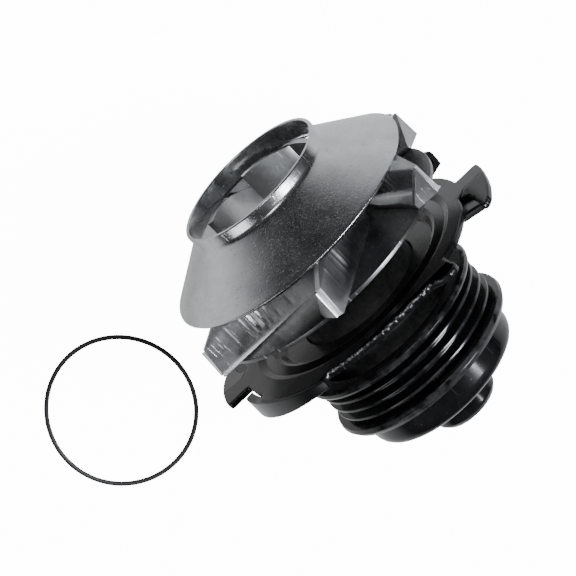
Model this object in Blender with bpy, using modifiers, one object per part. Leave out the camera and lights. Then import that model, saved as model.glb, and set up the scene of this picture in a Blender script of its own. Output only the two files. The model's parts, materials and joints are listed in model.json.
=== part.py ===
"""Cartridge water pump: shrouded impeller, bayonet cover plate, ribbed pulley, and what they hide.

The shaft lies along world Y: the impeller's eye faces -Y and the pulley is at +Y. Every piece of the
pump is parented to the empty pump_axis, whose local +Z is world +Y and whose local +X is world +X.
Local z = 0 is the front face of the cover plate's rim. Lengths below are in millimetres, as
(radius, z) pairs for turned pieces; MM turns them into metres. Angles are counted in the local XY
plane from +X, so an angle of -90 degrees points up, along world +Z.
"""

import math

import bmesh
import bpy

MM = 0.001
GAP = 0.3                       # room left between pieces that touch on the real pump
TURN_STEPS = 48                 # facets round a large turned piece
FINE_STEPS = 36                 # facets round a small one

# Shaft and bearing
SHAFT_R = 8.0
SHAFT_FRONT = -25.0
SHAFT_REAR = 47.2
BORE_R = SHAFT_R + GAP
RUN_R = SHAFT_R + 0.1           # bore of the lip seals, which the shaft runs in
RING_OUTER_R = 15.0
RING_INNER_R = 12.7
RING_FRONT = 12.5
RING_REAR = 38.0
TRACK_DEPTH = 0.2
TRACK_HALF = 1.6
BALL_R = 2.3
BALL_PITCH_R = 10.35
BALL_COUNT = 7
BALL_ROWS = {"front": 17.5, "rear": 33.0}
CAGE_INNER_R = 9.6
CAGE_OUTER_R = 11.1
CAGE_HALF = 2.8

# Impeller
LIP_Z = -44.0
LIP_R = 23.5
COLLAR_Z = -39.2
SHROUD_EDGE_R = 40.8
SHROUD_EDGE_Z = -27.3
SHROUD_SHEET = 1.1
PLATE_R = 40.4
PLATE_FRONT = -13.2
PLATE_BACK = -11.9
HUB_R = 11.0
VANE_COUNT = 6
VANE_SHEET = 1.7
VANE_ROOT = (18.4, -151.9)      # the ends of the straight centre line, as (radius, angle)
VANE_END = (47.2, -79.2)
VANE_CORNER_R = 45.2            # the blade's outer corner, and the height it stands at
VANE_CORNER_Z = -22.6
VANE_TIP_R = 46.0

# Cover plate
COVER_SHEET = 2.0
RIM_R = 41.0
EAR_R = 49.2
LOBE_R = 50.0
SHELF_R = 41.6
HOOK_INNER_R = 44.2
COVER_BORE_R = 19.9
PAD_HEIGHT = 0.5
PAD_INNER_R = 46.5
TONGUE_INNER_R = 41.7
TONGUE_OUTER_R = 43.9
TONGUE_TIP_DEPTH = 8.0          # the tongue is bent back furthest at its free end
TONGUE_ROOT_DEPTH = 3.2
TAB_OUTER_R = 49.9              # the small far lobe whose outer edge is turned forward
TAB_FRONT = -3.3
POCKET_DEPTH = 3.8              # how far the turned-back end of each hook reaches

# Bearing housing and seal
HOUSING_R = 19.5
HOUSING_FRONT = -3.5
HOUSING_REAR = 38.2
SEAL_BORE_R = 15.8
CHAMBER_R = 12.0
WEEP_Z = 10.0
WEEP_R = 1.2

# Pulley
RIB_PITCH = 3.56
RIB_TIP_R = 28.4
GROOVE_R = 25.5
FIRST_RIB_Z = 18.8
RIB_COUNT = 3
FLANGE_R = 30.0
BAND_R = 30.5
BAND_EDGE_R = 29.5
BAND_EDGE_Z = 31.1
DOME_R = 25.4
DOME_REAR = 41.8
DOME_ROUND = 4.6
PULLEY_INNER_R = 23.5
PULLEY_WEB = 1.8
WEB_HOLE_R = 12.0
STUB_R = 10.6
STUB_TIP_R = 8.4
STUB_REAR = 52.0

# Loose sealing ring, lying beside the pump on the surface under it
TABLE_Z = -46.6
O_RING_R = 22.95
O_RING_CORD = 1.4
O_RING_X = 73.9
O_RING_Y = -5.3


def clear_scene():
    for obj in list(bpy.data.objects):
        bpy.data.objects.remove(obj)


def new_collection(name):
    collection = bpy.data.collections.new(name)
    bpy.context.scene.collection.children.link(collection)
    return collection


def new_material(name, colour, roughness, metallic):
    material = bpy.data.materials.new(name)
    material.use_nodes = True
    shader = material.node_tree.nodes["Principled BSDF"]
    shader.inputs["Base Color"].default_value = (*colour, 1.0)
    shader.inputs["Roughness"].default_value = roughness
    shader.inputs["Metallic"].default_value = metallic
    return material


def add_object(name, mesh, colour, roughness, metallic):
    obj = bpy.data.objects.new(name, mesh)
    PARTS.objects.link(obj)
    obj.parent = AXIS
    mesh.materials.append(new_material(name, colour, roughness, metallic))
    return obj


def add_cutter(name, mesh):
    obj = bpy.data.objects.new(name, mesh)
    CUTTERS.objects.link(obj)
    obj.parent = AXIS
    obj.hide_render = True
    obj.display_type = "WIRE"
    return obj


def shade_round(mesh):
    mesh.shade_smooth()
    mesh.set_sharp_from_angle(angle=math.radians(30))


def signed_area(points):
    pairs = zip(points, points[1:] + points[:1])
    return sum(r0 * z1 - r1 * z0 for (r0, z0), (r1, z1) in pairs) / 2


def profile_mesh(name, points):
    """A closed (radius, z) outline as loose edges; its outer side runs from high z to low z."""
    if signed_area(points) > 0:
        points = points[::-1]
    on_axis = [r == 0 for r, _ in points]
    edges = []
    for i in range(len(points)):
        j = (i + 1) % len(points)
        if not (on_axis[i] and on_axis[j]):
            edges.append((i, j))
    mesh = bpy.data.meshes.new(name)
    mesh.from_pydata([(r * MM, 0.0, z * MM) for r, z in points], edges, [])
    return mesh


def add_screw(obj, steps):
    screw = obj.modifiers.new("turn", "SCREW")
    screw.steps = steps
    screw.render_steps = steps
    screw.use_merge_vertices = True
    screw.merge_threshold = 0.00001
    screw.use_smooth_shade = True


def turned(name, points, look, steps=TURN_STEPS):
    obj = add_object(name, profile_mesh(name, points), *look)
    add_screw(obj, steps)
    return obj


def turned_cutter(name, points, steps=TURN_STEPS):
    obj = add_cutter(name, profile_mesh(name, points))
    add_screw(obj, steps)
    return obj


def combine(target, other, operation):
    modifier = target.modifiers.new(operation.lower(), "BOOLEAN")
    modifier.operation = operation
    modifier.solver = "EXACT"
    modifier.object = other


def arc(centre_r, centre_z, radius, start, end, count):
    """Points round an arc in the (radius, z) plane; angles in degrees from the +radius direction."""
    points = []
    for i in range(count + 1):
        angle = math.radians(start + (end - start) * i / count)
        points.append((centre_r + radius * math.cos(angle), centre_z + radius * math.sin(angle)))
    return points


def polar(radius, angle):
    a = math.radians(angle)
    return (radius * math.cos(a), radius * math.sin(a))


def polar_arc(radius, start, end, step=4.0):
    count = max(1, round(abs(end - start) / step))
    return [polar(radius, start + (end - start) * i / count) for i in range(count + 1)]


def prism_cutter(name, outline, low, high):
    """A flat outline as a filled 2D curve, given a thickness from low to high, made a mesh."""
    curve = bpy.data.curves.new(name, "CURVE")
    curve.dimensions = "2D"
    curve.fill_mode = "BOTH"
    curve.extrude = (high - low) / 2 * MM
    spline = curve.splines.new("POLY")
    spline.points.add(len(outline) - 1)
    for point, (x, y) in zip(spline.points, outline):
        point.co = (x * MM, y * MM, 0.0, 1.0)
    spline.use_cyclic_u = True
    flat = bpy.data.objects.new(name + "_curve", curve)
    CUTTERS.objects.link(flat)
    evaluated = flat.evaluated_get(bpy.context.evaluated_depsgraph_get())
    mesh = bpy.data.meshes.new_from_object(evaluated)
    bpy.data.objects.remove(flat)
    bm = bmesh.new()
    bm.from_mesh(mesh)
    bmesh.ops.remove_doubles(bm, verts=bm.verts, dist=0.00001)
    bmesh.ops.translate(bm, verts=bm.verts, vec=(0.0, 0.0, (low + high) / 2 * MM))
    bmesh.ops.recalc_face_normals(bm, faces=bm.faces)
    bm.to_mesh(mesh)
    bm.free()
    return add_cutter(name, mesh)


# ---------------------------------------------------------------- looks

BARE_STEEL = ((0.60, 0.60, 0.59), 0.32, 1.0)
BLACK_COAT = ((0.012, 0.012, 0.013), 0.22, 0.0)
BLACK_RUBBER = ((0.015, 0.015, 0.015), 0.55, 0.0)
GROUND_STEEL = ((0.52, 0.52, 0.52), 0.25, 1.0)
CAST_IRON = ((0.10, 0.10, 0.10), 0.60, 1.0)
BRASS = ((0.72, 0.54, 0.22), 0.30, 1.0)
CARBON = ((0.03, 0.03, 0.032), 0.45, 0.0)
CERAMIC = ((0.85, 0.83, 0.78), 0.25, 0.0)
NYLON = ((0.62, 0.55, 0.38), 0.50, 0.0)


# ---------------------------------------------------------------- impeller

def shroud_profile():
    collar_inner = LIP_R - SHROUD_SHEET
    outer = [(LIP_R - 0.3, LIP_Z), (LIP_R, LIP_Z + 0.4), (LIP_R, COLLAR_Z)]
    outer += [(LIP_R + 0.8, COLLAR_Z + 1.0), (SHROUD_EDGE_R, SHROUD_EDGE_Z)]
    inner = [(SHROUD_EDGE_R - 0.7, SHROUD_EDGE_Z + 0.9), (collar_inner + 1.1, COLLAR_Z + 2.0)]
    inner += [(collar_inner, COLLAR_Z + 0.6), (collar_inner, LIP_Z + 0.3), (collar_inner + 0.2, LIP_Z)]
    return outer + inner


def passage_profile():
    """The space between shroud and back plate that a blade fills, with its slanting ends."""
    bottom = PLATE_FRONT - GAP
    return [(17.5, bottom), (LIP_R + 1.2, COLLAR_Z + 3.4), (38.2, SHROUD_EDGE_Z + 0.1),
            (VANE_CORNER_R, VANE_CORNER_Z), (VANE_TIP_R, bottom - 1.0), (VANE_TIP_R - 1.0, bottom)]


def vane_mesh():
    """One blade as an open ribbon on its centre line, from the back plate to past the shroud."""
    x0, y0 = polar(*VANE_ROOT)
    x1, y1 = polar(*VANE_END)
    mesh = bpy.data.meshes.new("vane")
    bm = bmesh.new()
    corners = [(x0, y0, -40.0), (x1, y1, -40.0), (x1, y1, -10.0), (x0, y0, -10.0)]
    bm.faces.new([bm.verts.new((x * MM, y * MM, z * MM)) for x, y, z in corners])
    bm.to_mesh(mesh)
    bm.free()
    return mesh


def build_vanes():
    passage = turned_cutter("passage", passage_profile())
    for i in range(VANE_COUNT):
        vane = add_object(f"vane_{i + 1}", vane_mesh(), *BARE_STEEL)
        vane.rotation_euler = (0.0, 0.0, math.radians(360 / VANE_COUNT * i))
        sheet = vane.modifiers.new("sheet", "SOLIDIFY")
        sheet.thickness = VANE_SHEET * MM
        sheet.offset = 0.0
        combine(vane, passage, "INTERSECT")


def build_impeller():
    turned("front_shroud", shroud_profile(), BARE_STEEL)
    bore = HUB_R - 1.2
    turned("back_plate", [(PLATE_R, PLATE_BACK), (PLATE_R, PLATE_FRONT), (bore, PLATE_FRONT),
                          (bore, PLATE_BACK)], BARE_STEEL)
    build_vanes()
    neck = bore - GAP
    front = PLATE_FRONT - GAP
    back = PLATE_BACK + GAP
    turned("impeller_hub", [(BORE_R, -23.5), (10.2, -23.5), (HUB_R, -22.7), (HUB_R, front - 2.4),
                            (13.0, front - 2.4), (13.0, front), (neck, front), (neck, back),
                            (12.0, back), (12.0, back + 1.9), (BORE_R, back + 1.9)],
           GROUND_STEEL, FINE_STEPS)


# ---------------------------------------------------------------- cover plate

def cover_profile():
    front = [(LOBE_R + 1, 0.0), (35.5, 0.0), (33.4, 1.1), (31.4, 0.7), (30.2, 0.5), (29.0, 1.0),
             (27.0, 3.0), (COVER_BORE_R, 3.0)]
    back = [(COVER_BORE_R, 3.0 + COVER_SHEET), (26.0, 3.0 + COVER_SHEET), (28.2, 2.9), (29.6, 2.4),
            (31.4, 2.6), (33.4, 3.1), (35.5, COVER_SHEET), (LOBE_R + 1, COVER_SHEET)]
    return front + back


def half_outline():
    """Half of the plate's edge: hook ear, shelf, ramped lobe, sheared edge and root of the tongue."""
    ear = [polar(RIM_R, -179)] + polar_arc(EAR_R, -179, -151)
    window = polar_arc(HOOK_INNER_R, -151, -162, 5.0) + polar_arc(40.4, -162, -148, 5.0)
    shelf = polar_arc(SHELF_R, -146.5, -119.5, 5.2)
    lobe = polar_arc(LOBE_R, -118.8, -114, 2.4)
    ramp = [polar(46.6, -108), polar(43.2, -101)]
    sheared = polar_arc(RIM_R, -95, -57, 5.4)
    return ear + window + shelf + lobe + ramp + sheared


def full_outline():
    """Both halves of the edge; one ends in the bent-back tongue, the other in the forward tab."""
    tongue_root = polar_arc(TONGUE_OUTER_R, -57, -18, 5.6) + polar_arc(RIM_R, -18, -1, 5.6)
    tab_root = polar_arc(RIM_R, -50, -37, 5.6) + polar_arc(TAB_OUTER_R, -36, -28.5, 3.75)
    tab_root += polar_arc(RIM_R, -27.5, -1, 5.6)
    far = half_outline() + tab_root
    return half_outline() + tongue_root + [(-x, -y) for x, y in far]


def ring_sector(inner_r, outer_r, start, end):
    return polar_arc(inner_r, start, end, 5.6) + polar_arc(outer_r, end, start, 5.6)


def slope_tongue(mesh):
    """Lowers the tongue's rear face in a straight slope from its free end to its root."""
    tip_x, tip_y = polar(TONGUE_OUTER_R, -2)
    root_x, root_y = polar(TONGUE_OUTER_R, -57)
    run_x, run_y = tip_x - root_x, tip_y - root_y
    for vertex in mesh.vertices:
        if vertex.co.z > 0.5 * TONGUE_TIP_DEPTH * MM:
            x, y = vertex.co.x / MM - root_x, vertex.co.y / MM - root_y
            t = (x * run_x + y * run_y) / (run_x ** 2 + run_y ** 2)
            vertex.co.z = (TONGUE_ROOT_DEPTH + (TONGUE_TIP_DEPTH - TONGUE_ROOT_DEPTH) * t) * MM


def build_cover():
    cover = turned("cover_plate", cover_profile(), BLACK_COAT, 64)
    combine(cover, prism_cutter("cover_outline", full_outline(), -5.0, 10.0), "INTERSECT")
    strip = ring_sector(TONGUE_INNER_R, TONGUE_OUTER_R, -57, -2)
    tongue = prism_cutter("tongue", strip, 1.0, TONGUE_TIP_DEPTH)
    slope_tongue(tongue.data)
    combine(cover, tongue, "UNION")
    cut = ring_sector(RIM_R + 0.01, TONGUE_OUTER_R + 0.6, -17, 0.6)
    combine(cover, prism_cutter("tongue_cut", cut, -1.0, 2.6), "DIFFERENCE")
    tab = ring_sector(TAB_OUTER_R - 2.0, TAB_OUTER_R - 0.1, 144.3, 151.2)
    combine(cover, prism_cutter("forward_tab", tab, TAB_FRONT, 1.0), "UNION")
    for side, turn in (("a", 0), ("b", 180)):
        pocket = ring_sector(RIM_R - 0.5, 47.3, -163 + turn, -151.5 + turn)
        combine(cover, prism_cutter("hook_back_" + side, pocket, COVER_SHEET - 0.4, POCKET_DEPTH), "UNION")
        pad = ring_sector(PAD_INNER_R, EAR_R - 0.3, 3 + turn, 31 + turn)
        combine(cover, prism_cutter("ear_pad_" + side, pad, -PAD_HEIGHT, 1.0), "UNION")


# ---------------------------------------------------------------- bearing, housing and seal

def build_shaft():
    profile = [(0.0, SHAFT_FRONT), (SHAFT_R - 0.8, SHAFT_FRONT), (SHAFT_R, SHAFT_FRONT + 0.8)]
    for z in BALL_ROWS.values():
        profile += [(SHAFT_R, z - TRACK_HALF), (SHAFT_R - TRACK_DEPTH, z - TRACK_HALF / 2),
                    (SHAFT_R - TRACK_DEPTH, z + TRACK_HALF / 2), (SHAFT_R, z + TRACK_HALF)]
    profile += [(SHAFT_R, SHAFT_REAR - 0.8), (SHAFT_R - 0.8, SHAFT_REAR), (0.0, SHAFT_REAR)]
    turned("shaft", profile, GROUND_STEEL, FINE_STEPS)


def build_bearing():
    inner = [(RING_INNER_R, RING_FRONT)]
    for z in BALL_ROWS.values():
        inner += [(RING_INNER_R, z - TRACK_HALF), (RING_INNER_R + TRACK_DEPTH, z - TRACK_HALF / 2),
                  (RING_INNER_R + TRACK_DEPTH, z + TRACK_HALF / 2), (RING_INNER_R, z + TRACK_HALF)]
    inner.append((RING_INNER_R, RING_REAR))
    outer = [(RING_OUTER_R, RING_REAR), (RING_OUTER_R, RING_FRONT)]
    turned("bearing_outer_ring", inner + outer, GROUND_STEEL, FINE_STEPS)
    seal_outer = RING_INNER_R - GAP
    for name, z in (("front_bearing_seal", RING_FRONT + 0.4), ("rear_bearing_seal", RING_REAR - 1.4)):
        turned(name, [(RUN_R, z + 0.3), (RUN_R + 0.8, z), (seal_outer, z), (seal_outer, z + 1.0),
                      (RUN_R + 0.8, z + 1.0)], BLACK_RUBBER, FINE_STEPS)


def ball_mesh(name, radius):
    mesh = bpy.data.meshes.new(name)
    bm = bmesh.new()
    bmesh.ops.create_uvsphere(bm, u_segments=12, v_segments=8, radius=radius * MM)
    bm.to_mesh(mesh)
    bm.free()
    shade_round(mesh)
    return mesh


def build_ball_rows():
    for row, z in BALL_ROWS.items():
        cage = turned(row + "_cage", [(CAGE_OUTER_R, z + CAGE_HALF), (CAGE_OUTER_R, z - CAGE_HALF),
                                      (CAGE_INNER_R, z - CAGE_HALF), (CAGE_INNER_R, z + CAGE_HALF)],
                      NYLON, FINE_STEPS)
        for i in range(BALL_COUNT):
            x, y = polar(BALL_PITCH_R, 360 / BALL_COUNT * i)
            name = f"{row}_ball_{i + 1}"
            ball = add_object(name, ball_mesh(name, BALL_R), *GROUND_STEEL)
            pocket = add_cutter(name + "_pocket", ball_mesh(name + "_pocket", BALL_R + 0.15))
            for obj in (ball, pocket):
                obj.location = (x * MM, y * MM, z * MM)
            combine(cage, pocket, "DIFFERENCE")


def build_housing():
    ring_bore = RING_OUTER_R + GAP
    shoulder = RING_FRONT - GAP
    profile = [(HOUSING_R, HOUSING_REAR), (HOUSING_R, 8.3), (26.0, 8.3), (26.0, 5.3), (HOUSING_R, 5.3),
               (HOUSING_R, HOUSING_FRONT), (SEAL_BORE_R, HOUSING_FRONT), (SEAL_BORE_R, 4.5),
               (CHAMBER_R, 4.5), (CHAMBER_R, shoulder), (ring_bore, shoulder),
               (ring_bore, HOUSING_REAR)]
    housing = turned("bearing_housing", profile, CAST_IRON, FINE_STEPS)
    mesh = bpy.data.meshes.new("weep_hole")
    bm = bmesh.new()
    bmesh.ops.create_cone(bm, cap_ends=True, segments=10, radius1=WEEP_R * MM, radius2=WEEP_R * MM,
                          depth=14.0 * MM)
    bm.to_mesh(mesh)
    bm.free()
    weep = add_cutter("weep_hole", mesh)
    weep.rotation_euler = (math.radians(90), 0.0, 0.0)
    weep.location = (0.0, 17.0 * MM, WEEP_Z * MM)
    combine(housing, weep, "DIFFERENCE")


def build_standing_seal():
    turned("seal_cup", [(15.5, 4.2), (15.5, -4.0), (14.9, -4.0), (14.9, 3.6), (10.0, 3.6), (10.0, 4.2)],
           BRASS, FINE_STEPS)
    turned("carbon_ring", [(13.2, -5.8), (9.6, -5.8), (9.6, -3.6), (14.5, -3.6), (14.5, -4.6),
                           (13.2, -4.6)], CARBON, FINE_STEPS)
    folds = [(11.2, -3.3), (12.8, -2.2), (11.4, -1.1), (12.8, 0.0), (11.4, 1.1), (12.8, 2.2), (11.4, 3.3)]
    inner = [(r - 1.4, z) for r, z in reversed(folds)]
    turned("seal_bellows", folds + inner, BLACK_RUBBER, FINE_STEPS)
    build_spring()


def build_spring():
    turns = 3.5
    per_turn = 14
    count = int(turns * per_turn)
    curve = bpy.data.curves.new("seal_spring", "CURVE")
    curve.dimensions = "3D"
    curve.bevel_depth = 0.45 * MM
    curve.bevel_resolution = 2
    curve.use_fill_caps = True
    spline = curve.splines.new("POLY")
    spline.points.add(count)
    for i, point in enumerate(spline.points):
        x, y = polar(14.0, 360 * i / per_turn)
        z = -2.9 + 5.8 * i / count
        point.co = (x * MM, y * MM, z * MM, 1.0)
    curve.materials.append(new_material("seal_spring", *GROUND_STEEL))
    spring = bpy.data.objects.new("seal_spring", curve)
    PARTS.objects.link(spring)
    spring.parent = AXIS


def build_turning_seal():
    turned("seal_seat", [(13.6, -6.1), (13.6, -8.1), (9.6, -8.1), (9.6, -6.1)], CERAMIC, FINE_STEPS)
    turned("seat_boot", [(13.4, -8.4), (13.4, -9.2), (BORE_R, -9.2), (BORE_R, -6.4), (9.3, -6.4),
                         (9.3, -8.4)], BLACK_RUBBER, FINE_STEPS)
    turned("slinger", [(11.3, 7.2), (11.3, 6.2), (BORE_R, 5.6), (BORE_R, 7.2)], BARE_STEEL, FINE_STEPS)


# ---------------------------------------------------------------- pulley

def pulley_outer():
    """The pulley's outside from its rear web round the dome, along the ribs to the front flange."""
    dome = arc(DOME_R - DOME_ROUND, DOME_REAR - DOME_ROUND, DOME_ROUND, 90, 0, 4)
    points = [(WEB_HOLE_R, DOME_REAR)] + dome
    points += [(DOME_R, BAND_EDGE_Z + 1.2), (BAND_EDGE_R, BAND_EDGE_Z), (BAND_R, BAND_EDGE_Z - 1.4),
               (BAND_R - 0.4, BAND_EDGE_Z - 2.6)]
    for i in reversed(range(RIB_COUNT)):
        z = FIRST_RIB_Z + RIB_PITCH * i
        points += [(GROOVE_R, z + RIB_PITCH / 2 + 0.3), (GROOVE_R, z + RIB_PITCH / 2 - 0.3)]
        points += [(RIB_TIP_R, z + 0.35), (RIB_TIP_R, z - 0.35)]
    first_groove = FIRST_RIB_Z - RIB_PITCH / 2
    points += [(GROOVE_R, first_groove + 0.3), (GROOVE_R, first_groove - 0.2)]
    points += [(FLANGE_R - 0.3, 15.9), (FLANGE_R, 15.0), (FLANGE_R - 0.3, 14.1), (28.6, 13.6)]
    return points


def build_pulley():
    inner_dome = arc(19.0, DOME_REAR - PULLEY_WEB - 4.5, 4.5, 0, 90, 3)
    inner = [(PULLEY_INNER_R + 1.0, 13.9), (PULLEY_INNER_R, 15.0)] + inner_dome
    inner.append((WEB_HOLE_R, DOME_REAR - PULLEY_WEB))
    turned("pulley", pulley_outer() + inner, BLACK_COAT)
    neck = WEB_HOLE_R - GAP
    web_front = DOME_REAR - PULLEY_WEB - GAP
    web_rear = DOME_REAR + GAP
    turned("pulley_hub", [(0.0, STUB_REAR), (STUB_TIP_R, STUB_REAR), (STUB_R - 0.7, STUB_REAR - 0.9),
                          (STUB_R, STUB_REAR - 2.6), (STUB_R, web_rear), (neck, web_rear),
                          (neck, web_front), (14.0, web_front), (14.0, web_front - 1.0),
                          (BORE_R, web_front - 1.0), (BORE_R, SHAFT_REAR + GAP),
                          (0.0, SHAFT_REAR + GAP)], BLACK_COAT, FINE_STEPS)


# ---------------------------------------------------------------- loose ring

def build_o_ring():
    bpy.ops.mesh.primitive_torus_add(major_segments=48, minor_segments=8, major_radius=O_RING_R * MM,
                                     minor_radius=O_RING_CORD / 2 * MM,
                                     location=(O_RING_X * MM, O_RING_Y * MM,
                                               (TABLE_Z + O_RING_CORD / 2) * MM))
    ring = bpy.context.object
    ring.name = "o_ring"
    ring.data.name = "o_ring"
    ring.data.materials.append(new_material("o_ring", *BLACK_RUBBER))
    shade_round(ring.data)
    for collection in list(ring.users_collection):
        collection.objects.unlink(ring)
    PARTS.objects.link(ring)


clear_scene()
PARTS = new_collection("water_pump")
CUTTERS = new_collection("cutters")
AXIS = bpy.data.objects.new("pump_axis", None)
PARTS.objects.link(AXIS)
AXIS.rotation_euler = (math.radians(-90), 0.0, 0.0)

build_impeller()
build_cover()
build_shaft()
build_bearing()
build_ball_rows()
build_housing()
build_standing_seal()
build_turning_seal()
build_pulley()
build_o_ring()
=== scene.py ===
"""Looks for the water pump: studio, camera, procedural materials and detailed pieces over the CAD frame.

Lengths are in millimetres until place() or MM turns them into metres. A point of the pump is given as
(r, th, y): th in degrees round the rotor axis from +Z towards +X, and y along the axis.
"""

import json
import math
import random

import bmesh
import bpy
from mathutils import Matrix, Vector


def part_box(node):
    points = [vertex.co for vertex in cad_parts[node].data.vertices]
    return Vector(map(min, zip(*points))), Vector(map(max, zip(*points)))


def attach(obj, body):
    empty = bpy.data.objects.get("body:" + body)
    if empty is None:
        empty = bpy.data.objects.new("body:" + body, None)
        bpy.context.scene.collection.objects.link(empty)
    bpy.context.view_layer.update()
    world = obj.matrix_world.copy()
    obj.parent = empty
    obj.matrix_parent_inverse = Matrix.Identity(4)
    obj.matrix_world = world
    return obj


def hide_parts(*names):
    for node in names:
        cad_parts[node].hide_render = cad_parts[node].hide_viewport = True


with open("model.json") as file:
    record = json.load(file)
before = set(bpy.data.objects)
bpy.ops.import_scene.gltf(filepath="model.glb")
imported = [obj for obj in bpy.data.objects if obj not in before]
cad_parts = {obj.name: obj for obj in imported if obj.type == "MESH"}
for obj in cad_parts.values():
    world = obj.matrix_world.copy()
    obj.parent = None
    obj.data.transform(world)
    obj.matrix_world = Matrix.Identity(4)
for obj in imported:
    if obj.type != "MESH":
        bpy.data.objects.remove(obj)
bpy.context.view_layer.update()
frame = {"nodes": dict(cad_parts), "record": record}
scene = bpy.context.scene
MM = 0.001
TABLE_SEEN = 14.0        # how brightly the table glows to the eye, and on to the metal
TABLE_GLOW = 0.55
TABLE_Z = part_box("o_ring")[0][2] / MM


# ---------------------------------------------------------------- nodes and materials

def node(tree, kind, inputs=None, **settings):
    item = tree.nodes.new(kind)
    for key, value in settings.items():
        setattr(item, key, value)
    for key, value in (inputs or {}).items():
        if isinstance(value, bpy.types.NodeSocket):
            tree.links.new(value, item.inputs[key])
        else:
            item.inputs[key].default_value = value
    return item


def calc(tree, operation, a, b=0.0):
    return node(tree, "ShaderNodeMath", {0: a, 1: b}, operation=operation).outputs[0]


def spread(tree, value, low, high, to_low, to_high):
    item = node(tree, "ShaderNodeMapRange", {"Value": value, "From Min": low, "From Max": high,
                                             "To Min": to_low, "To Max": to_high})
    return item.outputs["Result"]


def blend_colour(tree, factor, a, b):
    item = node(tree, "ShaderNodeMix", data_type="RGBA")
    for index, value in ((0, factor), (6, a), (7, b)):
        if isinstance(value, bpy.types.NodeSocket):
            tree.links.new(value, item.inputs[index])
        else:
            item.inputs[index].default_value = value
    return item.outputs[2]


def object_space(tree, scale=(1.0, 1.0, 1.0), turn=(0.0, 0.0, 0.0)):
    where = node(tree, "ShaderNodeTexCoord").outputs["Object"]
    return node(tree, "ShaderNodeMapping", {"Vector": where, "Scale": scale, "Rotation": turn}).outputs[0]


def radius_of(tree):
    where = node(tree, "ShaderNodeSeparateXYZ", {0: node(tree, "ShaderNodeTexCoord").outputs["Object"]})
    square = calc(tree, "ADD", calc(tree, "MULTIPLY", where.outputs[0], where.outputs[0]),
                  calc(tree, "MULTIPLY", where.outputs[2], where.outputs[2]))
    return calc(tree, "SQRT", square), where.outputs[1]


def noise(tree, vector, scale, detail=4.0, rough=0.55):
    return node(tree, "ShaderNodeTexNoise", {"Vector": vector, "Scale": scale, "Detail": detail,
                                             "Roughness": rough}).outputs["Fac"]


def turning_marks(tree, scale):
    """Fine rings about the rotor axis, as turning or spinning leaves them."""
    r, y = radius_of(tree)
    rings = node(tree, "ShaderNodeCombineXYZ", {0: r, 1: y, 2: 0.0}).outputs[0]
    return noise(tree, rings, scale, 3.0)


def scratches(tree, turn, scale=1.0):
    """Thin, sparse lines in one direction: 1 on a scratch and 0 beside it."""
    lines = noise(tree, object_space(tree, (2600 * scale, 90 * scale, 2600 * scale), turn), 1.0, 2.0)
    return spread(tree, lines, 0.66, 0.74, 0.0, 1.0)


def speckle(tree, scale, low, high):
    return spread(tree, noise(tree, object_space(tree), scale, 5.0), low, high, 0.0, 1.0)


def finish_material(tree, shader, height, depth):
    bump = node(tree, "ShaderNodeBump", {"Height": height, "Strength": 1.0, "Distance": depth})
    tree.links.new(bump.outputs[0], shader.inputs["Normal"])


def new_material(name):
    material = bpy.data.materials.new(name)
    material.use_nodes = True
    tree = material.node_tree
    return material, tree, tree.nodes["Principled BSDF"]


def steel(name, light, dark, rough, marks=0.0, depth=0.00003):
    """Bare steel: cloudy tone, specks, two ways of scratches, and turning marks where wanted."""
    material, tree, shader = new_material(name)
    cloud = noise(tree, object_space(tree), 130.0, 6.0, 0.6)
    fine = noise(tree, object_space(tree), 1500.0, 4.0)
    specks = speckle(tree, 900.0, 0.60, 0.70)
    cuts = calc(tree, "MAXIMUM", scratches(tree, (0.3, 0.2, 0.9)), scratches(tree, (1.1, 0.5, -0.6), 0.7))
    tone = calc(tree, "ADD", spread(tree, cloud, 0.35, 0.65, -0.1, 0.55), calc(tree, "MULTIPLY", fine, 0.6))
    colour = blend_colour(tree, tone, (*dark, 1.0), (*light, 1.0))
    colour = blend_colour(tree, calc(tree, "MULTIPLY", specks, 0.22), colour,
                          (dark[0] * 0.45, dark[1] * 0.45, dark[2] * 0.48, 1.0))
    colour = blend_colour(tree, calc(tree, "MULTIPLY", cuts, 0.6), colour, (0.90, 0.90, 0.91, 1.0))
    tree.links.new(colour, shader.inputs["Base Color"])
    roughness = calc(tree, "ADD", spread(tree, cloud, 0.3, 0.7, rough - 0.03, rough + 0.04),
                     calc(tree, "MULTIPLY", specks, 0.12))
    tree.links.new(roughness, shader.inputs["Roughness"])
    shader.inputs["Metallic"].default_value = 1.0
    height = calc(tree, "SUBTRACT", calc(tree, "MULTIPLY", fine, 0.5), calc(tree, "MULTIPLY", cuts, 0.4))
    height = calc(tree, "SUBTRACT", height, calc(tree, "MULTIPLY", specks, 0.25))
    if marks:
        height = calc(tree, "ADD", height, calc(tree, "MULTIPLY", turning_marks(tree, 2500.0), marks))
    finish_material(tree, shader, height, depth)
    return material


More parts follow.
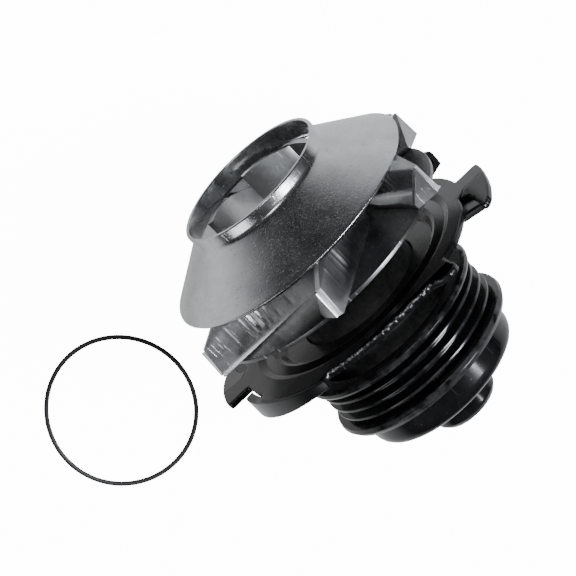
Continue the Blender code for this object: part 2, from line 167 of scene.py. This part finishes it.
def black_coat(name, rough, worn_radius=None):
    """Glossy black dip coat: slight orange peel, dust, dull patches and wear along the rib crests."""
    material, tree, shader = new_material(name)
    peel = noise(tree, object_space(tree), 420.0, 3.0)
    cloud = noise(tree, object_space(tree), 90.0, 5.0)
    dust = speckle(tree, 1300.0, 0.64, 0.72)
    colour = blend_colour(tree, spread(tree, cloud, 0.35, 0.65, 0.0, 1.0), (0.004, 0.004, 0.0045, 1.0),
                          (0.011, 0.011, 0.012, 1.0))
    colour = blend_colour(tree, calc(tree, "MULTIPLY", dust, 0.10), colour, (0.20, 0.20, 0.20, 1.0))
    cuts = scratches(tree, (0.2, 0.0, 0.4))
    if worn_radius:
        r, _ = radius_of(tree)
        crest = spread(tree, r, worn_radius * MM, (worn_radius + 0.25) * MM, 0.0, 1.0)
        worn = calc(tree, "MULTIPLY", crest, spread(tree, noise(tree, object_space(tree), 260.0), 0.42, 0.6,
                                                    0.0, 0.4))
        colour = blend_colour(tree, worn, colour, (0.08, 0.08, 0.082, 1.0))
    colour = blend_colour(tree, calc(tree, "MULTIPLY", cuts, 0.08), colour, (0.25, 0.25, 0.25, 1.0))
    tree.links.new(colour, shader.inputs["Base Color"])
    roughness = calc(tree, "ADD", spread(tree, cloud, 0.3, 0.7, rough - 0.03, rough + 0.05),
                     calc(tree, "MULTIPLY", dust, 0.12))
    tree.links.new(roughness, shader.inputs["Roughness"])
    shader.inputs["Specular IOR Level"].default_value = 0.30
    height = calc(tree, "SUBTRACT", calc(tree, "MULTIPLY", peel, 0.6), calc(tree, "MULTIPLY", cuts, 0.1))
    finish_material(tree, shader, height, 0.000012)
    return material


def chipped_coat(name):
    """The black coat where the sheared edge has shed it in flecks down to bright metal."""
    material, tree, shader = new_material(name)
    flecks = speckle(tree, 1100.0, 0.50, 0.57)
    colour = blend_colour(tree, flecks, (0.02, 0.02, 0.021, 1.0), (0.38, 0.39, 0.40, 1.0))
    tree.links.new(colour, shader.inputs["Base Color"])
    tree.links.new(calc(tree, "MULTIPLY", flecks, 0.9), shader.inputs["Metallic"])
    tree.links.new(spread(tree, flecks, 0.0, 1.0, 0.25, 0.38), shader.inputs["Roughness"])
    finish_material(tree, shader, flecks, 0.00008)
    return material


def plain(name, light, dark, rough, metallic, grain=700.0, depth=0.00003):
    """Any other finish: two tones of one colour in fine grain, with its own bump."""
    material, tree, shader = new_material(name)
    cloud = noise(tree, object_space(tree), grain / 6, 5.0)
    fine = noise(tree, object_space(tree), grain, 5.0)
    tone = calc(tree, "ADD", calc(tree, "MULTIPLY", cloud, 0.6), calc(tree, "MULTIPLY", fine, 0.4))
    colour = blend_colour(tree, spread(tree, tone, 0.35, 0.65, 0.0, 1.0), (*dark, 1.0), (*light, 1.0))
    tree.links.new(colour, shader.inputs["Base Color"])
    tree.links.new(spread(tree, tone, 0.3, 0.7, rough - 0.08, rough + 0.08), shader.inputs["Roughness"])
    shader.inputs["Metallic"].default_value = metallic
    finish_material(tree, shader, fine, depth)
    return material


LOOKS = {
    "impeller_steel": steel("bright_stamped_steel", (0.60, 0.61, 0.61), (0.42, 0.43, 0.44), 0.22, 0.15, 0.00004),
    "black_coat": black_coat("black_coat", 0.20),
    "ground_steel": steel("ground_steel", (0.70, 0.70, 0.70), (0.50, 0.50, 0.51), 0.20, 0.5, 0.00001),
    "cast_iron": plain("cast_iron", (0.16, 0.16, 0.16), (0.05, 0.05, 0.05), 0.55, 0.6, 900.0, 0.0001),
    "seal_rubber": plain("seal_rubber", (0.022, 0.022, 0.022), (0.010, 0.010, 0.010), 0.55, 0.0),
    "o_ring_rubber": plain("o_ring_rubber", (0.020, 0.020, 0.021), (0.008, 0.008, 0.008), 0.50, 0.0, 1500.0),
    "brass": plain("brass", (0.78, 0.60, 0.28), (0.55, 0.40, 0.16), 0.30, 1.0),
    "carbon": plain("carbon", (0.045, 0.045, 0.048), (0.020, 0.020, 0.022), 0.42, 0.0),
    "ceramic": plain("ceramic", (0.86, 0.84, 0.79), (0.74, 0.72, 0.66), 0.25, 0.0),
    "cage_nylon": plain("cage_nylon", (0.66, 0.59, 0.42), (0.52, 0.45, 0.30), 0.45, 0.0),
}
PULLEY_COAT = black_coat("pulley_coat", 0.12, 28.2)
CHIPPED_COAT = chipped_coat("chipped_coat")
# The back plate's steel, painted dark: painted shade for where it lies under the shroud, not oil or a finish of
# its own.
SHADED_BACK_PLATE_STEEL = steel("painted_shade_steel", (0.16, 0.16, 0.165), (0.07, 0.07, 0.072), 0.30, 0.3)
VANE_STEEL = steel("vane_steel", (0.60, 0.61, 0.61), (0.40, 0.41, 0.42), 0.36, 0.0, 0.00004)


# ---------------------------------------------------------------- mesh helpers

def place(r, th, y):
    a = math.radians(th)
    return Vector((r * math.sin(a), y, r * math.cos(a))) * MM


def rounded(points, steps=5):
    """A closed outline of (a, b, radius) with each corner eased by about that radius."""
    out = []
    for i, (a, b, radius) in enumerate(points):
        corner = Vector((a, b))
        back = Vector(points[i - 1][:2]) - corner
        ahead = Vector(points[(i + 1) % len(points)][:2]) - corner
        if radius <= 0.0:
            out.append(tuple(corner))
            continue
        reach = radius / math.tan(max(back.angle(ahead), 0.2) / 2)
        start = corner + back.normalized() * min(reach, back.length * 0.48)
        end = corner + ahead.normalized() * min(reach, ahead.length * 0.48)
        for k in range(steps + 1):
            t = k / steps
            out.append(tuple(start * (1 - t) ** 2 + corner * 2 * t * (1 - t) + end * t ** 2))
    return out


def add_grid(bm, rows, wrap_rows=True, wrap_columns=True):
    """Quads over rows of points."""
    grid = [[bm.verts.new(p) for p in row] for row in rows]
    height, width = len(grid), len(grid[0])
    for i in range(height if wrap_rows else height - 1):
        for j in range(width if wrap_columns else width - 1):
            a, b = grid[i], grid[(i + 1) % height]
            k = (j + 1) % width
            bm.faces.new((a[j], a[k], b[k], b[j]))
    return grid


def make_piece(name, bm, material, body, nodes, sharp=32.0):
    bmesh.ops.remove_doubles(bm, verts=bm.verts, dist=0.000002)
    bmesh.ops.recalc_face_normals(bm, faces=bm.faces)
    mesh = bpy.data.meshes.new(name)
    bm.to_mesh(mesh)
    bm.free()
    mesh.shade_smooth()
    mesh.set_sharp_from_angle(angle=math.radians(sharp))
    mesh.materials.append(material)
    obj = bpy.data.objects.new(name, mesh)
    scene.collection.objects.link(obj)
    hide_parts(*nodes)
    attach(obj, body)
    return obj


def no_change(r, th, y):
    return r, y


def add_lathe(bm, profile, steps=192, change=no_change):
    rows = []
    for r, y in profile:
        row = []
        for i in range(steps):
            th = 360 * i / steps
            row.append(place(max(change(r, th, y)[0], 0.0), th, change(r, th, y)[1]))
        rows.append(row)
    add_grid(bm, rows)


def lathe_piece(name, profile, material, body, nodes, steps=192, change=no_change):
    bm = bmesh.new()
    add_lathe(bm, profile, steps, change)
    return make_piece(name, bm, material, body, nodes)


def smooth(t):
    t = min(max(t, 0.0), 1.0)
    return t * t * (3 - 2 * t)


# ---------------------------------------------------------------- impeller

def shroud_change(r, th, y):
    """The pressed ring isn't perfectly round or flat."""
    wave = 0.10 * math.sin(math.radians(th * 2 + 40)) + 0.05 * math.sin(math.radians(th * 6 + 15))
    outer = smooth((r - 30) / 10)
    return r + 0.04 * math.sin(math.radians(th * 5)), y + wave * outer


def build_shroud():
    profile = rounded([(23.5, -44.0, 0.5), (23.55, -40.2, 1.9), (40.8, -27.35, 0.3), (40.1, -26.45, 0.15),
                       (22.5, -37.9, 1.6), (22.35, -44.0, 0.4)], 6)
    dense = []
    for a, b in zip(profile, profile[1:] + profile[:1]):
        pieces = max(1, int(math.dist(a, b) / 1.2))
        dense += [(a[0] + (b[0] - a[0]) * k / pieces, a[1] + (b[1] - a[1]) * k / pieces)
                  for k in range(pieces)]
    lathe_piece("shroud_detail", dense, LOOKS["impeller_steel"], "rotor", ["front_shroud"],
                240, shroud_change)


def build_back_plate():
    def change(r, th, y):
        return r + 0.05 * math.sin(math.radians(3 * th)), y + 0.05 * math.sin(math.radians(2 * th)) * (r > 30)
    profile = rounded([(40.45, -13.2, 0.25), (36.0, -13.2, 0.0), (22.0, -13.2, 0.0), (9.9, -13.2, 0.2),
                       (9.9, -11.9, 0.2), (30.0, -11.9, 0.0), (40.35, -11.9, 0.15)])
    lathe_piece("back_plate_detail", profile, SHADED_BACK_PLATE_STEEL, "rotor", ["back_plate"],
                240, change)


BLADE_COUNT = 6
BLADE_TURN = 360.0 / BLADE_COUNT
BLADE_ORIGIN = (5.76, 42.09)   # where the first blade passes, as (x, z), and which way it runs
BLADE_ALONG = (0.567, 0.823)
BLADE_OUT = (-0.823, 0.567)
BLADE_SHEET = 1.75
BLADE_FOOT = -13.1             # height of the blade's rear edge, at the back plate
BLADE_COLUMNS = 150
BLADE_ROWS = 28


def blade_point(s, n, y, turn):
    """A point on a blade: s outward along it, n off its bright face, y along the axis."""
    x = BLADE_ORIGIN[0] + s * BLADE_ALONG[0] + n * BLADE_OUT[0]
    z = BLADE_ORIGIN[1] + s * BLADE_ALONG[1] + n * BLADE_OUT[1]
    a = math.radians(turn)
    return Vector((x * math.cos(a) + z * math.sin(a), y, z * math.cos(a) - x * math.sin(a))) * MM


def blade_radius(s):
    return math.hypot(BLADE_ORIGIN[0] + s * BLADE_ALONG[0], BLADE_ORIGIN[1] + s * BLADE_ALONG[1])


def blade_top(s):
    """Height of the blade's front edge: under the shroud, then down to its outer corner."""
    r = blade_radius(s)
    if r < 39.2:
        return -26.2 - (40.1 - r) * 0.651
    return -26.8 + (r - 39.2) / (blade_radius(3.0) - 39.2) * 4.2


def crease_height(s):
    return -22.6 - 1.4 * min(max((3.0 - s) / 11, 0.0), 1.6)


# Die marks on a blade, as (place along it, half width, height)
RIDGES = ((-14.5, 0.5, 0.22), (-13.3, 0.35, -0.16), (-12.2, 0.45, 0.18), (-9.6, 0.3, 0.10), (-16.6, 0.6, 0.14),
          (-19.5, 0.4, 0.10), (-5.4, 0.35, 0.08), (-24.0, 0.6, 0.10))


def blade_offset(s, y, k):
    """How far the bright face stands off flat: leaning front strip, die ridges and root fillet."""
    lean = max(crease_height(s) - y, 0.0) * 0.34 * smooth((s + 26) / 14)
    ridge = 0.0
    for at, width, height in RIDGES:
        ridge += height * math.exp(-((s - at - 0.25 * math.sin(k * 1.7 + at)) / width) ** 2)
    ridge *= 1.1 * smooth((y + 25.0) / 2.0) * smooth((-14.2 - y) / 2.0)
    root = max(1.0 - (BLADE_FOOT - y) / 2.0, 0.0)
    fillet = 0.6 * max(1.0 + s / 42, 0.0) * root * root
    return lean + ridge, fillet


def add_blade(bm, k):
    turn = BLADE_TURN * k
    columns = [-40.0 + 43.0 * i / BLADE_COLUMNS for i in range(BLADE_COLUMNS + 1)]
    front, back = [], []
    for s in columns:
        top = blade_top(s)
        outer = smooth((s + 1.0) / 4.0)
        row_front, row_back = [], []
        for j in range(BLADE_ROWS + 1):
            u = j / BLADE_ROWS
            y = BLADE_FOOT + (top - BLADE_FOOT) * u
            slide = s + outer * (1.0 - u) * 1.0
            off, fillet = blade_offset(s, y, k)
            row_front.append(blade_point(slide, off + fillet, y, turn))
            row_back.append(blade_point(slide, off - BLADE_SHEET, y, turn))
        front.append(row_front)
        back.append(row_back)
    rows = [a + b[::-1] for a, b in zip(front, back)]
    grid = add_grid(bm, rows, wrap_rows=False)
    half = len(front[0])
    for row in (grid[0], grid[-1]):
        for j in range(half - 1):
            bm.faces.new((row[j], row[j + 1], row[2 * half - 2 - j], row[2 * half - 1 - j]))


def add_hull(bm, points):
    verts = [bm.verts.new(p) for p in points]
    bmesh.ops.convex_hull(bm, input=verts)


def add_foot(bm, k):
    """The blade's foot flange on the back plate and the web that joins it to the outer corner."""
    turn = BLADE_TURN * k
    rows = []
    for s, wide in ((-27.0, 3.0), (-20.0, 4.6), (-10.0, 5.6), (-3.0, 6.8), (0.4, 7.45)):
        edge = [(-BLADE_SHEET + 0.3, -13.12), (-wide + 0.2, -13.12), (-wide, -13.4), (-wide, -14.5),
                (-wide + 0.3, -14.8), (-BLADE_SHEET - 1.4, -14.9), (-BLADE_SHEET - 0.5, -15.4),
                (-BLADE_SHEET + 0.3, -16.6)]
        rows.append([blade_point(s, n, y, turn) for n, y in edge])
    grid = add_grid(bm, rows, wrap_rows=False)
    for row in (grid[0], grid[-1]):
        bm.faces.new(row)
    web = [(3.4, -1.0, -22.3), (4.1, -1.7, -22.2), (4.6, -1.7, -13.15), (0.4, -7.45, -13.15),
           (0.4, -7.45, -14.8), (1.6, -1.7, -21.6), (-1.6, -6.6, -14.8), (-1.6, -1.2, -17.0),
           (3.6, -1.0, -13.15)]
    add_hull(bm, [blade_point(s, n, y, turn) for s, n, y in web])


def nearest_vanes():
    """Which CAD vane each detailed blade stands for, by where their boxes' middles lie."""
    centres = {}
    for i in range(1, BLADE_COUNT + 1):
        low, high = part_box(f"vane_{i}")
        centres[i] = Vector(((low[0] + high[0]) / 2, (low[2] + high[2]) / 2))
    order = []
    for k in range(BLADE_COUNT):
        middle = blade_point(-18.0, -0.9, -20.0, BLADE_TURN * k).xz
        order.append(min(centres, key=lambda i: (centres[i] - middle).length))
    return order


def build_blades():
    order = nearest_vanes()
    for k in range(BLADE_COUNT):
        bm = bmesh.new()
        add_blade(bm, k)
        add_foot(bm, k)
        obj = make_piece(f"blade_{k + 1}_detail", bm, VANE_STEEL, "rotor", [f"vane_{order[k]}"],
                         38.0)
        bevel = obj.modifiers.new("edges", "BEVEL")
        bevel.width = 0.12 * MM
        bevel.segments = 2
        bevel.limit_method = "ANGLE"
        bevel.angle_limit = math.radians(50)


# ---------------------------------------------------------------- cover plate

def along(points, step=0.9):
    """Points (r, th) with more laid between them, evenly along the edge."""
    out = []
    for (r0, a0), (r1, a1) in zip(points, points[1:]):
        length = math.hypot(r1 - r0, math.radians(a1 - a0) * (r0 + r1) / 2)
        count = max(1, round(length / step))
        out += [(r0 + (r1 - r0) * i / count, a0 + (a1 - a0) * i / count) for i in range(count)]
    return out


def flat(points):
    return [Vector((r * math.sin(math.radians(a)), r * math.cos(math.radians(a)))) for r, a in points]


def eased(loop, rounds=2):
    """Corner cutting on a closed loop."""
    for _ in range(rounds):
        cut = []
        for a, b in zip(loop, loop[1:] + loop[:1]):
            cut += [a * 0.75 + b * 0.25, a * 0.25 + b * 0.75]
        loop = cut
    return loop


def inset(loop, distance):
    """A closed loop moved inward by a small distance; the loop runs clockwise."""
    out = []
    for i, p in enumerate(loop):
        run = loop[(i + 1) % len(loop)] - loop[i - 1]
        normal = Vector((run.y, -run.x)).normalized()
        out.append(p + normal * distance)
    return out


# The plate's edge from its front face to its back, as (distance in from the outline, height)
EDGE_SHAPE = ((0.75, 0.0), (0.40, 0.03), (0.16, 0.14), (0.03, 0.34), (0.0, 0.6), (0.0, 1.85), (0.10, 2.0))


def add_plate(bm, loop, hole=None, lift=None):
    """A flat stamped sheet from a clockwise outline, with a rolled front edge, and a round hole."""
    rings = []
    for distance, y in EDGE_SHAPE:
        ring = []
        for p in inset(loop, distance):
            height = y + (lift(p) if lift else 0.0)
            ring.append(bm.verts.new(Vector((p.x, height, p.y)) * MM))
        rings.append(ring)
    count = len(loop)
    for a, b in zip(rings, rings[1:]):
        for j in range(count):
            bm.faces.new((a[j], a[(j + 1) % count], b[(j + 1) % count], b[j]))
    borders = (rings[0], rings[-1])
    holes = [[], []]
    if hole:
        steps = 180
        for side, y in ((0, 0.0), (1, 2.0)):
            holes[side] = [bm.verts.new(place(hole, 360 * i / steps, y)) for i in range(steps)]
        for i in range(steps):
            j = (i + 1) % steps
            bm.faces.new((holes[0][i], holes[0][j], holes[1][j], holes[1][i]))
    bm.edges.index_update()
    for side in (0, 1):
        border = []
        for ring in (borders[side], holes[side]):
            for a, b in zip(ring, ring[1:] + ring[:1]):
                border.append(bm.edges.get((a, b)))
        bmesh.ops.triangle_fill(bm, use_beauty=True, use_dissolve=False, edges=border)


def jitter(points, amount, seed):
    """A torn or sheared edge: each point moved in or out a little."""
    rng = random.Random(seed)
    return [(r + rng.uniform(-amount, amount), a) for r, a in points]


def half_edge():
    """Half the plate's edge, (r, th) with th rising: ear as far as its crease, rim, lobe, sheared edge."""
    ear = along([(41.7, -89.6), (48.3, -89.2), (48.9, -88.2), (49.1, -86.0), (49.1, -78.4), (42.0, -78.2),
                 (39.5, -73.2)])
    rim = along([(39.5, -73.2), (40.3, -68.0), (41.1, -62.3), (40.6, -57.0), (41.6, -41.5), (40.9, -34.0),
                 (41.4, -32.4), (43.6, -31.0), (49.0, -28.4), (49.9, -26.5), (49.8, -23.8)])
    ramp = along([(49.8, -23.8), (47.6, -21.2), (43.9, -18.7)])
    sheared = jitter(along([(43.9, -18.7), (42.2, -9.5), (41.7, -2.5), (41.3, 14.0), (41.4, 33.0)], 0.5), 0.20, 4)
    return ear + rim + ramp + sheared


def turned_half(points):
    return [(r, a + 180.0) for r, a in points]


def cover_outline():
    tongue = along([(41.4, 33.0), (43.9, 34.5), (43.9, 71.0), (41.2, 73.0), (41.0, 89.6), (41.7, 90.4)])
    plain_side = along([(41.4, 213.0), (41.0, 220.0), (41.0, 232.5), (49.2, 233.6), (49.9, 234.4),
                        (49.9, 240.8), (49.2, 241.6), (41.4, 242.0), (41.0, 244.0), (41.0, 269.6),
                        (41.7, 270.4)])
    return half_edge() + tongue[1:] + turned_half(half_edge()) + plain_side[1:]


def hook_outline():
    outer = [(42.0, -79.2), (49.1, -79.2), (49.4, -70.0), (49.3, -62.5)]
    torn = [(49.3, -62.5), (48.7, -60.3), (47.6, -59.2), (46.8, -60.8), (46.2, -62.4), (45.4, -63.6),
            (44.7, -66.2), (43.8, -68.0)]
    inner = [(43.8, -68.0), (42.7, -71.4), (39.9, -73.0), (40.6, -75.6), (42.0, -79.2)]
    return along(outer) + jitter(along(torn, 0.4), 0.15, 9) + along(inner)


def hook_lift(p):
    """The hook leans back from its radial crease."""
    return 0.065 * max(math.degrees(math.atan2(p.x, p.y)) + 78.5, 0.0)


def add_strip(bm, start, end, inner, outer, near, far, steps=60, seed=3):
    """A bent-over strip round the rim; near and far give its two edges' heights at t from 0 to 1."""
    rng = random.Random(seed)
    rows = []
    for i in range(steps + 1):
        t = i / steps
        th = start + (end - start) * t
        low, high = near(t), far(t)
        section = rounded([(outer, low, 0.5), (outer, high, 0.45), (inner, high, 0.35), (inner, low, 0.4)], 3)
        pinch = 1.0 - 0.25 * smooth((t - 0.975) / 0.025)
        middle_r, middle_y = (inner + outer) / 2, (low + high) / 2
        row = []
        for r, y in section:
            rough = rng.uniform(-0.12, 0.12) if t > 0.97 else 0.0
            row.append(place(middle_r + (r - middle_r) * pinch + rough, th, middle_y + (y - middle_y) * pinch))
        rows.append(row)
    grid = add_grid(bm, rows, wrap_rows=False)
    bm.faces.new(grid[0])
    bm.faces.new(grid[-1])


def build_cover():
    bm = bmesh.new()
    add_plate(bm, eased(flat(cover_outline())), 36.4)
    profile = rounded([(36.5, 0.01, 0.0), (35.5, 0.01, 0.9), (33.4, 1.15, 1.1), (31.4, 0.72, 0.5),
                       (30.2, 0.5, 0.5), (29.0, 0.9, 0.8), (27.2, 3.0, 1.0), (19.9, 3.0, 0.35),
                       (19.9, 5.0, 0.3), (26.0, 5.0, 1.2), (28.2, 2.9, 0.8), (29.6, 2.4, 0.5),
                       (31.4, 2.7, 0.5), (33.4, 3.2, 1.1), (35.5, 1.99, 0.9), (36.5, 1.99, 0.0)], 4)
    add_lathe(bm, profile, 192)
    for turn in (0.0, 180.0):
        part = bmesh.new()
        add_plate(part, eased(flat(hook_outline()), 1), None, hook_lift)
        bmesh.ops.rotate(part, verts=part.verts, cent=(0, 0, 0),
                         matrix=Matrix.Rotation(math.radians(turn), 3, "Y"))
        mesh = bpy.data.meshes.new("hook")
        part.to_mesh(mesh)
        part.free()
        bm.from_mesh(mesh)
        bpy.data.meshes.remove(mesh)
    add_strip(bm, 34.0, 88.0, 41.4, 44.1, lambda t: 0.2 + 0.8 * smooth((t - 0.62) / 0.2),
              lambda t: 3.0 + 5.6 * t, 110)
    add_strip(bm, 234.3, 241.3, 47.9, 49.9, lambda t: -3.3 + 5.0 * abs(t - 0.5) ** 3, lambda t: 1.2, 14, 5)
    # Behind each hook's window: a black strip. Part of it is the turned-back wall there. The rest is a dark sheet
    # put in as painted shade, so the window reads as a shaded pocket.
    for turn, last in ((0.0, -61.3), (180.0, -53.5)):
        add_strip(bm, -75.0 + turn, last + turn, 38.6, 47.4, lambda t: 1.7, lambda t: 3.6 + 0.3 * t, 16, 7)
    obj = make_piece("cover_detail", bm, LOOKS["black_coat"], "housing", ["cover_plate"], 40.0)
    obj.data.materials.append(CHIPPED_COAT)
    for face in obj.data.polygons:
        x, y, z = face.center / MM
        th = math.degrees(math.atan2(x, z))
        sheared = -21.0 < th < 33.0 or th > 159.0 or th < -147.0
        if sheared and math.hypot(x, z) > 40.6 and 0.02 < y < 1.2:
            face.material_index = 1
    obj.modifiers.new("flat_shading", "WEIGHTED_NORMAL").keep_sharp = True


# ---------------------------------------------------------------- pulley

def pulley_profile():
    pitch, first = 3.56, 18.8
    outer = [(12.0, 41.8, 0.3), (25.4, 41.8, 4.8), (25.4, 32.4, 0.9), (29.5, 31.5, 0.5), (30.5, 29.9, 0.7),
             (30.1, 28.4, 0.4)]
    for i in (2, 1, 0):
        y = first + pitch * i
        outer += [(25.5, y + pitch / 2 + 0.35, 0.35), (25.5, y + pitch / 2 - 0.35, 0.35),
                  (28.4, y + 0.42, 0.3), (28.4, y - 0.42, 0.3)]
    outer += [(25.5, first - pitch / 2 + 0.3, 0.35), (25.5, first - pitch / 2 - 0.25, 0.35),
              (29.6, 15.9, 0.4), (30.0, 15.0, 0.4), (29.7, 14.1, 0.3), (28.6, 13.6, 0.3)]
    inner = [(24.5, 13.9, 0.3), (23.5, 15.0, 0.4), (23.5, 40.0, 4.0), (12.0, 40.0, 0.3)]
    return rounded(outer + inner, 6)


def build_pulley():
    lathe_piece("pulley_detail", pulley_profile(), PULLEY_COAT, "rotor", ["pulley"], 240)
    hub = rounded([(0.0, 52.0, 0.0), (8.9, 52.0, 1.2), (10.6, 50.0, 1.6), (10.6, 42.1, 0.3), (11.7, 42.1, 0.2),
                   (11.7, 39.7, 0.2), (14.0, 39.7, 0.3), (14.0, 38.7, 0.3), (8.3, 38.7, 0.2),
                   (8.3, 47.5, 0.2), (0.0, 47.5, 0.0)], 5)
    lathe_piece("pulley_hub_detail", hub, PULLEY_COAT, "rotor", ["pulley_hub"], 96)


# ---------------------------------------------------------------- sealing ring

def build_o_ring():
    low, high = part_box("o_ring")
    centre = (Vector(low) + Vector(high)) / 2
    cord = (high[2] - low[2]) / 2
    bm = bmesh.new()
    rows = []
    for i in range(220):
        a = 2 * math.pi * i / 220
        wide = Vector((0.02196 * math.cos(a), 0.02388 * math.sin(a), 0.0)) * 0.985
        wide *= 1 + 0.004 * math.sin(3 * a + 0.6)
        out = wide.normalized()
        rows.append([centre + wide + out * math.cos(b) * cord + Vector((0, 0, math.sin(b) * cord))
                     for b in (2 * math.pi * j / 16 for j in range(16))])
    add_grid(bm, rows)
    make_piece("o_ring_detail", bm, LOOKS["o_ring_rubber"], "loose_ring", ["o_ring"])


# ---------------------------------------------------------------- the remaining CAD nodes

def dress_frame():
    for entry in frame["record"]["subparts"]:
        obj = frame["nodes"][entry["node"]]
        obj.data.materials.clear()
        obj.data.materials.append(LOOKS[entry["material_slot"]])


# ---------------------------------------------------------------- studio

def aim_at(obj, target):
    obj.rotation_euler = (target - obj.location).to_track_quat("-Z", "Y").to_euler()


def add_area(name, place_at, size, power, colour=(1.0, 1.0, 1.0)):
    data = bpy.data.lights.new(name, "AREA")
    data.shape = "RECTANGLE"
    data.size, data.size_y = size
    data.energy = power
    data.color = colour
    obj = bpy.data.objects.new(name, data)
    scene.collection.objects.link(obj)
    obj.location = Vector(place_at)
    aim_at(obj, Vector((0.01, 0.01, 0.0)))
    return obj


def build_floor():
    """A plain white table. What it throws up on the metal fades with distance, as a small lit table does."""
    bm = bmesh.new()
    steps = 64
    rim = [bm.verts.new((1.2 * math.cos(2 * math.pi * i / steps), 1.2 * math.sin(2 * math.pi * i / steps),
                         TABLE_Z * MM)) for i in range(steps)]
    bm.faces.new(rim)
    mesh = bpy.data.meshes.new("table_top")
    bm.to_mesh(mesh)
    bm.free()
    material, tree, shader = new_material("table_white")
    shader.inputs["Roughness"].default_value = 0.9
    shader.inputs["Specular IOR Level"].default_value = 0.0
    tone = noise(tree, object_space(tree), 3.0)
    colour = blend_colour(tree, tone, (0.40, 0.40, 0.40, 1.0), (0.42, 0.42, 0.42, 1.0))
    tree.links.new(colour, shader.inputs["Base Color"])
    where = node(tree, "ShaderNodeSeparateXYZ", {0: node(tree, "ShaderNodeTexCoord").outputs["Object"]})
    across = calc(tree, "MULTIPLY", where.outputs[0], 0.5)
    away = calc(tree, "SQRT", calc(tree, "ADD", calc(tree, "MULTIPLY", across, across),
                                   calc(tree, "MULTIPLY", where.outputs[1], where.outputs[1])))
    glow = spread(tree, away, 0.13, 0.33, TABLE_GLOW, 0.01)
    seen = node(tree, "ShaderNodeLightPath").outputs["Is Camera Ray"]
    strength = calc(tree, "ADD", calc(tree, "MULTIPLY", seen, TABLE_SEEN),
                    calc(tree, "MULTIPLY", calc(tree, "SUBTRACT", 1.0, seen), glow))
    shader.inputs["Emission Color"].default_value = (1.0, 1.0, 1.0, 1.0)
    tree.links.new(strength, shader.inputs["Emission Strength"])
    mesh.materials.append(material)
    floor = bpy.data.objects.new("table_top", mesh)
    scene.collection.objects.link(floor)


def make_camera():
    right = Vector((-0.7096, 0.6612, 0.2433))
    up = Vector((-0.7046, -0.6659, -0.2451))
    back = Vector((0.0, -0.3454, 0.9385))
    aim = Vector((13.47, -16.42, 10.15)) * MM
    data = bpy.data.cameras.new("camera")
    data.lens = 206.9
    data.sensor_width = 36.0
    data.clip_start = 0.05
    camera = bpy.data.objects.new("camera", data)
    scene.collection.objects.link(camera)
    spot = aim + back * 0.9204
    camera.matrix_world = Matrix((
        (right.x, up.x, back.x, spot.x),
        (right.y, up.y, back.y, spot.y),
        (right.z, up.z, back.z, spot.z),
        (0.0, 0.0, 0.0, 1.0),
    ))
    scene.camera = camera


def make_world():
    """Pale to the eye, dim to the metal, with the softboxes doing the lighting."""
    world = bpy.data.worlds.new("studio")
    world.use_nodes = True
    tree = world.node_tree
    background = tree.nodes["Background"]
    height = node(tree, "ShaderNodeSeparateXYZ", {0: node(tree, "ShaderNodeTexCoord").outputs["Generated"]})
    ramp = node(tree, "ShaderNodeValToRGB", {0: spread(tree, height.outputs[2], -0.3, 1.0, 0.0, 1.0)})
    stops = ramp.color_ramp.elements
    stops[0].position, stops[0].color = 0.0, (0.02, 0.02, 0.02, 1.0)
    stops[1].position, stops[1].color = 1.0, (0.035, 0.035, 0.037, 1.0)
    for at, tone in ((0.24, 0.025), (0.45, 0.05), (0.70, 0.10), (0.86, 0.05)):
        stop = stops.new(at)
        stop.color = (tone, tone, tone * 1.03, 1.0)
    seen = node(tree, "ShaderNodeLightPath").outputs["Is Camera Ray"]
    colour = blend_colour(tree, seen, ramp.outputs[0], (7.0, 7.0, 7.0, 1.0))
    tree.links.new(colour, background.inputs["Color"])
    background.inputs["Strength"].default_value = 1.0
    scene.world = world


def build_lights():
    add_area("key_box", (-0.58, 0.42, 0.98), (0.20, 0.52), 20.0, (0.93, 0.96, 1.0))
    add_area("top_box", (0.05, -0.50, 1.0), (0.30, 0.25), 2.5)
    add_area("side_box", (0.85, 0.25, 0.55), (0.3, 0.5), 2.0, (0.95, 0.98, 1.0))


build_shroud()
build_back_plate()
build_blades()
build_cover()
build_pulley()
build_o_ring()
dress_frame()
build_floor()
build_lights()
make_camera()
make_world()
